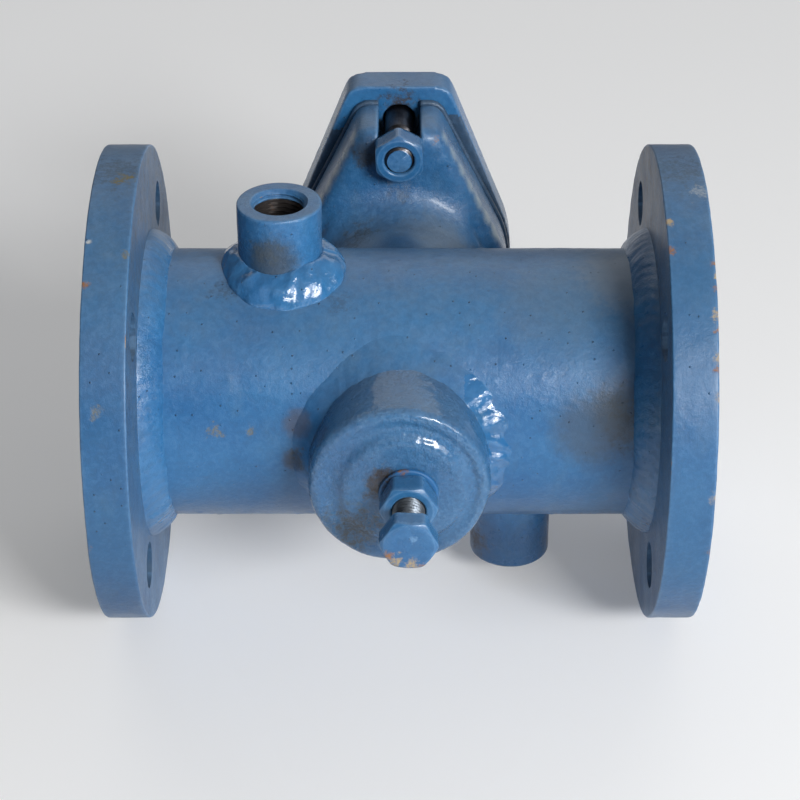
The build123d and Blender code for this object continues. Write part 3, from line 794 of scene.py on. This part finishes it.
def port_piece(name, sign, x, seed):
    """A half coupling: saddle foot, rounded mouth and a real thread inside."""
    bore, mouth, start = G_HALF_MINOR, PORT_END, TUBE_R - 8
    outline = rounded([
        (start, bore, 0), (start, PORT_R, 0), (mouth, PORT_R, 1.3), (mouth, bore + 1.5, 0.4),
        (mouth - 1.6, bore, 0.2),
    ], 0.2)
    outside = outline[:, 1] > bore + 0.3
    outline = outline[~outside | (np.cumsum(outside) % 4 == 0) | (outline[:, 0] > mouth - 1.6)]
    points = lathe(outline, "z", (0, 0, 0), 112)
    along, radius = outline[:, :1], outline[:, 1:]
    inside = smoothstep(-radius, -bore - 0.25, -bore)
    fade = smoothstep(-along, -mouth + 0.6, -mouth + 2.6)
    grow = inside * fade * v_thread(along, circle(112), G_HALF_PITCH, G_HALF_DEPTH)
    skin = 1 - inside
    wobble = skin * (0.16 * noise(points, 12, 2, seed) + 0.07 * noise(points, 2.5, 2, seed + 1))
    points[..., :2] *= ((radius + grow + wobble) / radius)[..., None]
    brim = skin * smoothstep(along, mouth - 0.4, mouth) * 0.25
    points[..., 2] += brim * (noise(points, 9, 2, seed + 2) - 0.4)
    foot = 1 - smoothstep(along, start, TUBE_R + 3)
    points[..., 2] -= foot * (TUBE_R - saddle_height(points[..., 1])) * 0.9
    return grid_piece(name, points * (sign, 1, sign) + (x, 0, 0))


def port_bore(x):
    """Chooses slot 1 for the threaded bore."""
    def choose(centres):
        inside = np.hypot(centres[:, 0] - x, centres[:, 1]) < G_HALF_MINOR + G_HALF_DEPTH + 0.25
        return inside & (np.abs(centres[:, 2]) < PORT_END - 4.5)
    return choose


def cap_piece():
    """The cast cap: straight side, rounded rim, shallow groove and a raised disc, all grainy."""
    wall_top, foot = CAP_FACE - 5.6, TUBE_R - 1.5
    profile = np.array([
        (CAP_R, 0), (CAP_R - 0.25, 1.3), (CAP_R - 0.95, 2.4), (CAP_R - 2.1, 3.1), (CAP_R - 3.6, 3.25),
        (CAP_R - 5.4, 2.75), (27.2, 2.45), (25.6, 2.75), (24.0, 3.5), (22.6, 4.75), (21.2, 5.4), (19.4, 5.5),
        (14.0, 5.4), (SCREW_HOLE_R, 5.4),
    ])
    face = profile + np.array([0, wall_top])
    spans = np.concatenate([[0], np.cumsum(np.linalg.norm(np.diff(face, axis=0), axis=1))])
    where = np.arange(0, spans[-1], 0.5)
    top = np.stack([np.interp(where, spans, face[:, k]) for k in (0, 1)], -1)
    for _ in range(3):
        top[1:-1] = (top[:-2] + 2 * top[1:-1] + top[2:]) / 4
    wall = np.stack([np.full(44, CAP_R), np.linspace(foot, wall_top, 44, endpoint=False)], -1)
    inner = np.array([(SCREW_HOLE_R, CAP_CAVITY_END), (CAP_CAVITY_R, CAP_CAVITY_END), (CAP_CAVITY_R, foot)])
    outline = np.concatenate([wall, top, inner])
    points = lathe(-outline[:, ::-1] * (1, -1), "y", (0, 0, 0), 400)
    drop = TUBE_R - saddle_height(points[..., 2], TUBE_R - 1.0)
    points[..., 1] += drop * (1 - smoothstep(-points[..., 1], foot, foot + 11))
    radius = np.hypot(points[..., 0], points[..., 2])
    skin = smoothstep(radius, SCREW_HOLE_R, 9.0) * (np.arange(len(outline)) < len(outline) - 3)[:, None]
    lumps = 0.36 * noise(points, 19, 2, 21) + 0.14 * noise(points, 3.6, 2, 22)
    grains = 0.11 * noise(points, 1.7, 2, 23)
    points += grid_normals(points) * (skin * (lumps + grains))[..., None]
    disc = 1 - smoothstep(radius, 24.0, 31.0)
    neck = 1 - smoothstep(radius, 9.0, 14.0)
    points[..., 0] += CROSS_X + CAP_DISC_SHIFT * disc + (SCREW_X - CROSS_X - CAP_DISC_SHIFT) * neck
    return grid_piece("front_cap_casting", points)


def ear_front(points):
    """Weights for the ears' outer front edges, away from the slot."""
    ahead = smoothstep(-points[:, 1], -92, -80)
    aside = smoothstep(np.abs(points[:, 0] - CROSS_X), 9, 12)
    return ahead * aside * smoothstep(np.abs(points[:, 2]), 22, 34)


def cover_joint(centres):
    """Chooses slot 1, painted shade, for the lower part of the cover's face on the gasket."""
    edge = 62 + 6 * noise(centres, 12, 2, 33)
    return (centres[:, 1] < middle("cover_gasket")[1] + 2.4) & (np.abs(centres[:, 2]) < edge)


# ------------------------------ fasteners and spring
HEX_ANGLE = circle(180)
CROWN_EDGE = 0.18
THREAD_STEP = 0.17
END_CHAMFER = 1.0
THREAD_PLAY = 0.08


def hexagon_radius(angle):
    """The distance to a hexagon's side at an angle, with slightly rounded corners."""
    part = (angle + TAU / 12) % (TAU / 6) - TAU / 12
    return M12_FLATS / 2 / np.cos(part) - 0.28 * np.exp(-((TAU / 12 - np.abs(part)) / 0.055) ** 2)


def crown_rows(turn, thick, bore, both):
    """(depth, radius) rows of a nut or head: flat ring, 30 degree crown, sides and the other face."""
    side, flat = hexagon_radius(HEX_ANGLE - turn), np.ones_like(HEX_ANGLE)
    ring = M12_FLATS / 2 * 0.95
    dip = np.maximum(side - ring, 0) * math.tan(math.radians(30))
    near, far = dip + CROWN_EDGE, thick - dip * both - CROWN_EDGE
    return [
        *((0, flat * (bore + (ring - bore) * t)) for t in (0, 0.25, 0.5, 0.75, 0.97)),
        *((dip * t + 0.02, ring + (side - ring) * t) for t in (0.1, 0.35, 0.65, 0.92)),
        *((near + (far - near) * t, side) for t in (0, 0.2, 0.4, 0.6, 0.8, 1)),
        (thick - 0.02, ring + (side - ring) * 0.2 if both else side - 0.2),
        (thick, flat * ring * 0.9), (thick, flat * bore),
    ]


def hex_grid(rows, start, facing):
    """A grid about the Y axis from (depth, radius) rows, the depth counted from start."""
    return np.array([turned(radius, start + facing * depth, HEX_ANGLE, "y") for depth, radius in rows])


def nut_piece(name, x, z, start, thick, turn, bore):
    """A hexagonal nut with crowned faces and a countersunk bore, start being its outer face."""
    rows = [(0.6, bore), *crown_rows(turn, thick, bore + 0.55, True), (thick - 0.6, bore)]
    return grid_piece(name, hex_grid(rows, start, 1) + (x, 0, z))


def bolt_piece(name, x, z, start, facing, thick, shank_end, thread_from, turn):
    """A hex bolt: its head from start, then the shank, threaded from thread_from on."""
    head = hex_grid(crown_rows(turn, thick, 0.0, False), start, facing)
    neck = start + facing * thick
    length = abs(shank_end - neck)
    run = np.append(np.arange(0.3, length - 0.01, THREAD_STEP), length)[:, None]
    along = neck + facing * run
    share = smoothstep((along - thread_from) * facing, 0, 1.5)
    cut_in = v_thread(along, HEX_ANGLE, M12_PITCH, M12_DEPTH) * share
    taper = END_CHAMFER * smoothstep(run, length - END_CHAMFER, length)
    radius = M12_R - THREAD_PLAY - cut_in * np.where(taper > 0, 0.5, 1) - taper
    shank = turned(radius, along, HEX_ANGLE, "y")
    points = np.concatenate([head[:-1], shank, shank[-1:] * (0, 1, 0)])
    return grid_piece(name, points + (x, 0, z), closed_rows=False)


def coil_piece(name, low, high, first, turns):
    """A stretch of the return spring between two places on its axis, beginning first turns round."""
    share = np.linspace(0, 1, int(turns * 72) + 1)
    angle = TAU * (first + turns * share)
    outward = turned(1, 0, angle, "y")[:, None]
    spine = turned(SPRING_R, low + (high - low) * share, angle, "y")[:, None]
    around = circle(14)[:, None]
    tube = spine + WIRE_R * (np.cos(around) * outward + np.sin(around) * (0, 1, 0))
    ends = np.repeat(spine[[0, -1]], len(around), axis=1)
    points = np.concatenate([ends[:1], tube, ends[1:]])
    return grid_piece(name, points + (SCREW_X, 0, 0), closed_rows=False)


# ------------------------------ the materials
ENAMEL_FLANGE = enamel("enamel_flange", rough=0.38, coat=0.02, shade=0.2, wear=0.36, grit=0.14, marks=[
    ((10, 0, 92), 20, STAIN_AND_SHADOW, 0.45), ((13.8, -6.5, 92.3), 6.5, OCHRE, 1), ((17.6, -44, 81.4), 2.6, OCHRE, 1),
    ((4, -38.8, 84), 1.6, CHALK, 1), ((3.3, -54, 75), 2.2, RUST, 1), ((8, -83, 40), 4, OCHRE, 0.6),
    ((2.6, -92, -14), 2.6, RUST, 0.9), ((10, -58, -72), 5.0, PRIMER, 0.4),
    # on the outlet flange, with a row of chips along its outer corner
    ((220, 0, 92), 20, STAIN_AND_SHADOW, 0.4), ((224.5, -14.5, 91.4), 6.0, CHALK, 0.5),
    ((212.2, -30.7, 87.2), 2.8, PRIMER, 1), ((211.7, -42.3, 82.3), 2.6, RUST, 0.9),
    ((228, -47, 80), 2.6, RUST, 1), ((228, -51.2, 77), 2.8, PRIMER, 1), ((228, -55, 74.3), 2.4, RUST, 1),
    ((227.6, -63, 67.8), 3.2, PRIMER, 1), ((228, -67, 63.8), 2.6, RUST, 1),
    ((227.8, -73.3, 56.4), 3.4, PRIMER, 1), ((228, -76, 52.6), 3, RUST, 1),
    ((228, -81.4, 43.9), 2.8, PRIMER, 0.9), ((227.5, -92.1, 8.2), 4, PRIMER, 0.6),
    ((228, -91, -16), 3.4, RUST, 0.7),
], hazes=[
    # painted shade: low on both rims and over the outlet flange's upper front
    ((8, -84, -25), 46, PAINTED_SHADE, 0.35), ((220, -88, -10), 40, PAINTED_SHADE, 0.25),
    ((221, -68, 62), 42.0, (0.02, 0.1, 0.22), 0.45),
])
# painted shade: the bolt-hole walls are painted darker
ENAMEL_HOLE_SHADE = enamel("enamel_hole_shade", rough=0.4, shade=0.6)
ENAMEL_SOOTY = enamel(
    "enamel_sooty", rough=0.42, grain=1.4, grain_size=2.0, grit=0.5, mottle=0.3, soot=(-10, 60),
)
ENAMEL_TUBE = enamel("enamel_tube", rough=0.33, coat=0.05, grit=0.45, grain=0.26, marks=[
    (on_tube(11, 47), 4.5, OCHRE, 0.8), (on_tube(11.5, 60), 3.2, OCHRE, 0.7),
    (on_tube(-1, 80), 8, STAIN_AND_SHADOW, 0.7), (on_tube(22, 196), 9, STAIN_AND_SHADOW, 0.5), (on_tube(24, 205), 6, OCHRE, 0.3),
    (on_tube(74, 50), 9, GRIME_AND_SHADE, 0.45), (on_tube(66, 92), 8, GRIME_AND_SHADE, 0.35), (on_tube(10, 204), 16, GRIME_AND_SHADE, 0.35),
], hazes=[
    # paler tops towards the outlet end: dust with painted sheen; dark grey patches at on_tube(12, 187) and
    # on_tube(20, 199): the outlet flange's shadow, painted
    (on_tube(84, 204), 27, (0.22, 0.29, 0.37), 0.65), (on_tube(66, 172), 26, DUST_AND_SHEEN, 0.25),
    (on_tube(12, 187), 20, (0.05, 0.067, 0.09), 0.6), ((78, -50, 13), 8, (0.075, 0.06, 0.06), 0.6),
    ((76, -52, -2), 6.5, (0.04, 0.036, 0.045), 0.6), (on_tube(20, 199), 17, (0.05, 0.062, 0.075), 0.6),
    # painted shade low on the front
    (on_tube(-35, 60), 34, PAINTED_SHADE, 0.3),
])
ENAMEL_WELD = enamel(
    "enamel_weld", rough=0.1, grain=1.5, grain_size=5, crisp=0.45, grit=0.25, coat=0.5, dust_sheen=0.12, mottle=0.1,
)
ENAMEL_FILLET = enamel("enamel_fillet", grain=0.7, grain_size=3.0, grit=0.4, dust_sheen=0.3, mottle=0.16)
ENAMEL_CAP = enamel(
    "enamel_cast", rough=0.24, grain=1.4, grain_size=1.5, grit=0.4, coat=0.7, mottle=0.22, edge_sheen=0.6,
    marks=[
        ((CROSS_X - 31, -56, 9), 11, (0.06, 0.045, 0.04), 0.9),
        ((CROSS_X - 33, -50, 0), 8.0, (0.12, 0.075, 0.05), 0.8),
        # at the lock nut's upper left: rust, deepened as painted shade of the gap under the nut; the wide
        # patch at its lower left is the nut's and head's shadow, painted
        ((SCREW_X - 8.5, -76, 8.5), 5.5, CRUST_AND_SHADE, 1), ((SCREW_X - 12, -76, 3.5), 5.5, CRUST_AND_SHADE, 1),
        ((SCREW_X - 15, -76, -1.5), 4.5, CRUST_AND_SHADE, 0.9), ((CROSS_X - 16, -75, -17), 17, STAIN_AND_SHADOW, 0.85),
    ],
    hazes=[
        # painted shade: low on the cap face, and in the gap at the lock nut's upper left
        ((CROSS_X + 6, -74, -34), 26, PAINTED_SHADE, 0.45),
        ((SCREW_X - 9, -77, 4), 9.0, (0.03, 0.03, 0.04), 0.8),
    ],
)
ENAMEL_BRANCH = enamel("enamel_branch", grain=0.5, mottle=0.16, shade=0.12, edge_sheen=0.6, marks=[
    ((CROSS_X + 14, 78, 66), 3.0, (0.3, 0.14, 0.04), 1), ((CROSS_X - 16, 60, 30), 12.0, STAIN_AND_SHADOW, 0.6),
    # the first patch on the next line, left of the upper cover nut, is that nut's shadow, painted
    ((CROSS_X - 15, 76, 60), 7.0, GRIME_AND_SHADE, 0.8), ((CROSS_X, 76, 46), 9.0, STAIN_AND_SHADOW, 0.4),
], hazes=[
    # painted light: paler patches on the neck; painted shade low in the neck and beside the upper cover nut
    ((CROSS_X + 14, 56, 24), 24, (0.17, 0.21, 0.25), 0.6),
    ((CROSS_X - 12, 52, 26), 18, (0.15, 0.2, 0.26), 0.4), ((CROSS_X, 44, 34), 13, PAINTED_SHADE, 0.6),
    ((CROSS_X - 13, 76, 62), 9.0, (0.03, 0.035, 0.045), 0.7),
    # painted highlights: pale lit strips down the ears' edges
    *[
        ((CROSS_X + side * (22.5 + 3.4 * step), 80, 68 - 7.4 * step), 6.5, (0.3, 0.38, 0.42), 0.85)
        for side in (-1, 1) for step in range(7)
    ],
])
ENAMEL_PLATE = enamel("enamel_plate", grain=0.3, wear=0.12, marks=[
    # dark brown above the upper cover bolt: rust, deepened as painted shade of the slot
    ((CROSS_X, 103, 71), 11.0, (0.035, 0.028, 0.026), 0.9),
])
# painted shade: the cover's face low on the gasket and the gasket's edge are painted darker
ENAMEL_JOINT_SHADE = enamel("enamel_joint_shade", rough=0.4, grain=0.4, shade=0.75, edge_sheen=0.1)
ENAMEL_PORT = enamel("enamel_port", rough=0.26, grain=0.5, wear=0.08, mottle=0.16, marks=[
    ((TOP_PORT_X - 5, -16, 66), 10, STAIN_AND_SHADOW, 0.6),
    ((BOTTOM_PORT_X - 14, -8, -70), 10, (0.07, 0.055, 0.045), 0.7),
], hazes=[
    ((TOP_PORT_X - 3, -16, 62), 14, (0.035, 0.045, 0.05), 0.75),
    # painted shade on the top boss's left side and over the bottom port
    ((TOP_PORT_X - 17, -8, 58), 12, PAINTED_SHADE, 0.5),
    ((BOTTOM_PORT_X, -10, -80), 34, (0.008, 0.05, 0.13), 0.8),
])
ENAMEL_NUT = enamel("enamel_fastener", rough=0.2, wear=0.1, grit=0.06, coat=0.2, dust_sheen=0.1, shade=0.08, marks=[
    ((SCREW_X - 4.5, -109, -6.2), 4.6, PRIMER, 1), ((SCREW_X + 1.0, -109, -8.0), 4.2, PRIMER, 1),
    ((SCREW_X - 7, -109, -4.0), 3.0, RUST, 1), ((SCREW_X + 5.0, -109, -8.6), 2.6, RUST, 0.9),
    # a pale painted highlight on the screw head's upper face
    ((SCREW_X + 1.5, -109, 3.0), 2.2, FLECK_AND_HIGHLIGHT, 0.9),
])
DARK_STEEL = bare_metal(
    "dark_steel", (0.1, 0.1, 0.11), (0.035, 0.033, 0.035), 0.34, rust=0.12, lines=(1, 0.15, 1),
)
THREAD_STEEL = bare_metal("thread_steel", (0.13, 0.15, 0.17), (0.05, 0.06, 0.075), 0.36, 0.8, rust=0.08)
PORT_THREAD = bare_metal("port_thread", (0.045, 0.038, 0.036), (0.02, 0.016, 0.015), 0.5, 0.4, rust=0.1)
MILL_STEEL = bare_metal("mill_steel", (0.2, 0.185, 0.175), (0.085, 0.075, 0.07), 0.5, 0.8, rust=0.35)
MACHINED = bare_metal("machined_face", (0.44, 0.44, 0.44), (0.34, 0.335, 0.33), 0.34, rust=0.1, rings=1.5)
STAINLESS = bare_metal("stainless", (0.6, 0.6, 0.6), (0.42, 0.42, 0.42), 0.26)
COPPER = bare_metal("copper", (0.72, 0.34, 0.2), (0.5, 0.2, 0.11), 0.34)
BIMETAL = bare_metal("bimetal", (0.62, 0.53, 0.36), (0.45, 0.37, 0.25), 0.3)
SPRING = bare_metal("spring_steel", (0.4, 0.4, 0.42), (0.2, 0.2, 0.21), 0.28)

# ------------------------------ making the pieces
add_camera()
add_stage()

for end, start, facing, seed in (("inlet", FLANGE_THICK, -1, 31), ("outlet", LENGTH - FLANGE_THICK, 1, 47)):
    flange = flange_piece(f"{end}_flange_plate", start, facing, seed)
    looks = [ENAMEL_FLANGE, MACHINED, ENAMEL_SOOTY, ENAMEL_HOLE_SHADE]
    place(flange, f"{end}_flange", "blue_enamel", looks, flange_faces(start, facing))
    weld = flange_bead(f"{end}_flange_bead", start, -facing, seed + 5)
    place(weld, f"{end}_flange_weld", "blue_weld", [ENAMEL_FILLET])

place(
    tube_piece(), "body_tube", "blue_enamel", [ENAMEL_TUBE, MILL_STEEL],
    lambda c: np.linalg.norm(c[:, 1:], axis=1) < TUBE_R - 1.5,
)

for end, sign, x, wide, tall in (("top", 1, TOP_PORT_X, 8.0, 7.5), ("bottom", -1, BOTTOM_PORT_X, 3.6, 3.2)):
    boss = port_piece(f"{end}_port_coupling", sign, x, 60 + sign)
    place(boss, f"{end}_port_boss", "blue_enamel", [ENAMEL_PORT, PORT_THREAD], port_bore(x))
    bead = post_bead(
        f"{end}_port_bead", "z", sign, x, PORT_R,
        lambda d: wide + (bump_at(d, -40, 38, 3.0) + bump_at(d, 200, 30, -1.0)) * (sign > 0),
        lambda d: tall + bump_at(d, -60, 30, 1.5) * (sign > 0), 70 + sign, lambda d: 1.5 + 0 * d, 1.5, 0.12,
    )
    place(bead, f"{end}_port_weld", "blue_weld", [ENAMEL_WELD])

place(cap_piece(), "front_cap", "blue_casting", [ENAMEL_CAP])
cap_bead = post_bead(
    "front_cap_bead", "y", -1, CROSS_X, CAP_R,
    lambda d: 7.0 + bump_at(d, 0, 42, 1.5), lambda d: 6.0 - bump_at(d, 0, 40, 1.5), 80,
    lambda d: 0.5 + bump_at(d, 5, 42, 1.4) + bump_at(d, 180, 30, 0.4), 2.5, 0.06,
)
place(
    cap_bead, "front_cap_weld", "blue_weld", [ENAMEL_TUBE, ENAMEL_WELD],
    lambda c: (c[:, 0] > CROSS_X + 24) & (c[:, 2] < 30),
)

branch = soft_copy("cover_branch_casting", "cover_branch", 0.9, 6, 0.08, 3.0, ear_front)
place(branch, "cover_branch", "blue_casting", [ENAMEL_BRANCH])
branch_bead = post_bead(
    "branch_bead", "y", 1, CROSS_X, BRANCH_R, lambda d: 4.2 + 0 * d, lambda d: 3.4 + 0 * d, 90,
    lambda d: 0.6 + 0 * d, 1.6, 0.25,
)
place(branch_bead, "branch_weld", "blue_weld", [ENAMEL_WELD])
cover = soft_copy("cover_plate_casting", "cover_plate", 1.0, 5, 0.05, 4.0)
place(cover, "cover_plate", "blue_enamel", [ENAMEL_PLATE, ENAMEL_JOINT_SHADE], cover_joint)
gasket = soft_copy("cover_gasket_sheet", "cover_gasket", 0.7, 2, 0.03, 4.0)
place(gasket, "cover_gasket", "sheet_gasket", [ENAMEL_JOINT_SHADE])

bolt_end, bolt_head = y_span("cover_bolts")
nut_face, nut_back = y_span("cover_nuts")
nut_thick = nut_back - nut_face
for label, sign in (("upper", 1), ("lower", -1)):
    z = sign * COVER_BOLT_Z
    bolt = bolt_piece(
        f"cover_bolt_{label}", CROSS_X, z, bolt_head, -1, bolt_head - COVER_BACK, bolt_end, nut_face + 22,
        0.2 * sign,
    )
    place(
        bolt, "cover_bolts", "bolt_steel", [ENAMEL_NUT, DARK_STEEL],
        lambda c: (c[:, 1] < COVER_BACK - 0.2) & (c[:, 1] > nut_face + 0.4), edges=1,
    )
    nut = nut_piece(f"cover_nut_{label}", CROSS_X, z, nut_face, nut_thick, 0.04 * sign, M12_R + 0.05)
    place(nut, "cover_nuts", "blue_fastener", [ENAMEL_NUT], edges=1)

screw_face, screw_end = y_span("adjusting_screw")
head_end = screw_face + SCREW_HEAD
screw = bolt_piece(
    "adjusting_screw_m12", SCREW_X, 0, screw_face, 1, SCREW_HEAD, screw_end, head_end + 0.5, TAU / 12 - 0.05,
)
place(
    screw, "adjusting_screw", "blue_fastener", [ENAMEL_NUT, THREAD_STEEL], lambda c: c[:, 1] > head_end + 0.2,
    body="screw", edges=1,
)
lock_face, lock_back = y_span("lock_nut")
lock = nut_piece("lock_nut_m12", SCREW_X, 0, lock_face, lock_back - lock_face, TAU / 12 + 0.04, M12_R + 0.08)
place(lock, "lock_nut", "blue_fastener", [ENAMEL_NUT], body="nut", edges=1)

seal_face, seal_back = y_span("screw_seal")
seal_front = seal_face + 0.02
seal_outline = rounded([
    (seal_front, SCREW_HOLE_R, 0.3), (seal_front, WASHER_R, 0.8), (seal_back, WASHER_R, 0.8),
    (seal_back, SCREW_HOLE_R, 0.3),
], 0.4)
seal = grid_piece("screw_seal_washer", lathe(seal_outline, "y", (SCREW_X, 0, 0), 96))
place(seal, "screw_seal", "seal_fibre", [seal_material()], body="seal", edges=0)

# The return spring is made in two halves: the front half rides on the pad, the rear half stays where it is.
spring_front, spring_back = y_span("return_spring")
spring_split = (spring_front + spring_back) / 2
front_coil = coil_piece("return_spring_front", spring_front + WIRE_R, spring_split, 0, 2)
place(front_coil, "return_spring", "spring_steel", [SPRING], body="pad", edges=0)
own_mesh(front_coil)
rear_coil = coil_piece("return_spring_rear", spring_split, spring_back - WIRE_R, 2, 2)
paint_faces(rear_coil, [SPRING])
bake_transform(rear_coil)
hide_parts("return_spring")

for node, material in {
    "partition_plate": MILL_STEEL, "seat_carrier": STAINLESS, "seat_gasket": COPPER, "valve_seat": STAINLESS,
    "valve_plug": STAINLESS, "thrust_pad": STAINLESS, "strainer_basket": STAINLESS,
    **{f"bimetal_pair_{number}": BIMETAL for number in range(1, 8)},
}.items():
    paint_faces(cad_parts[node], [material])
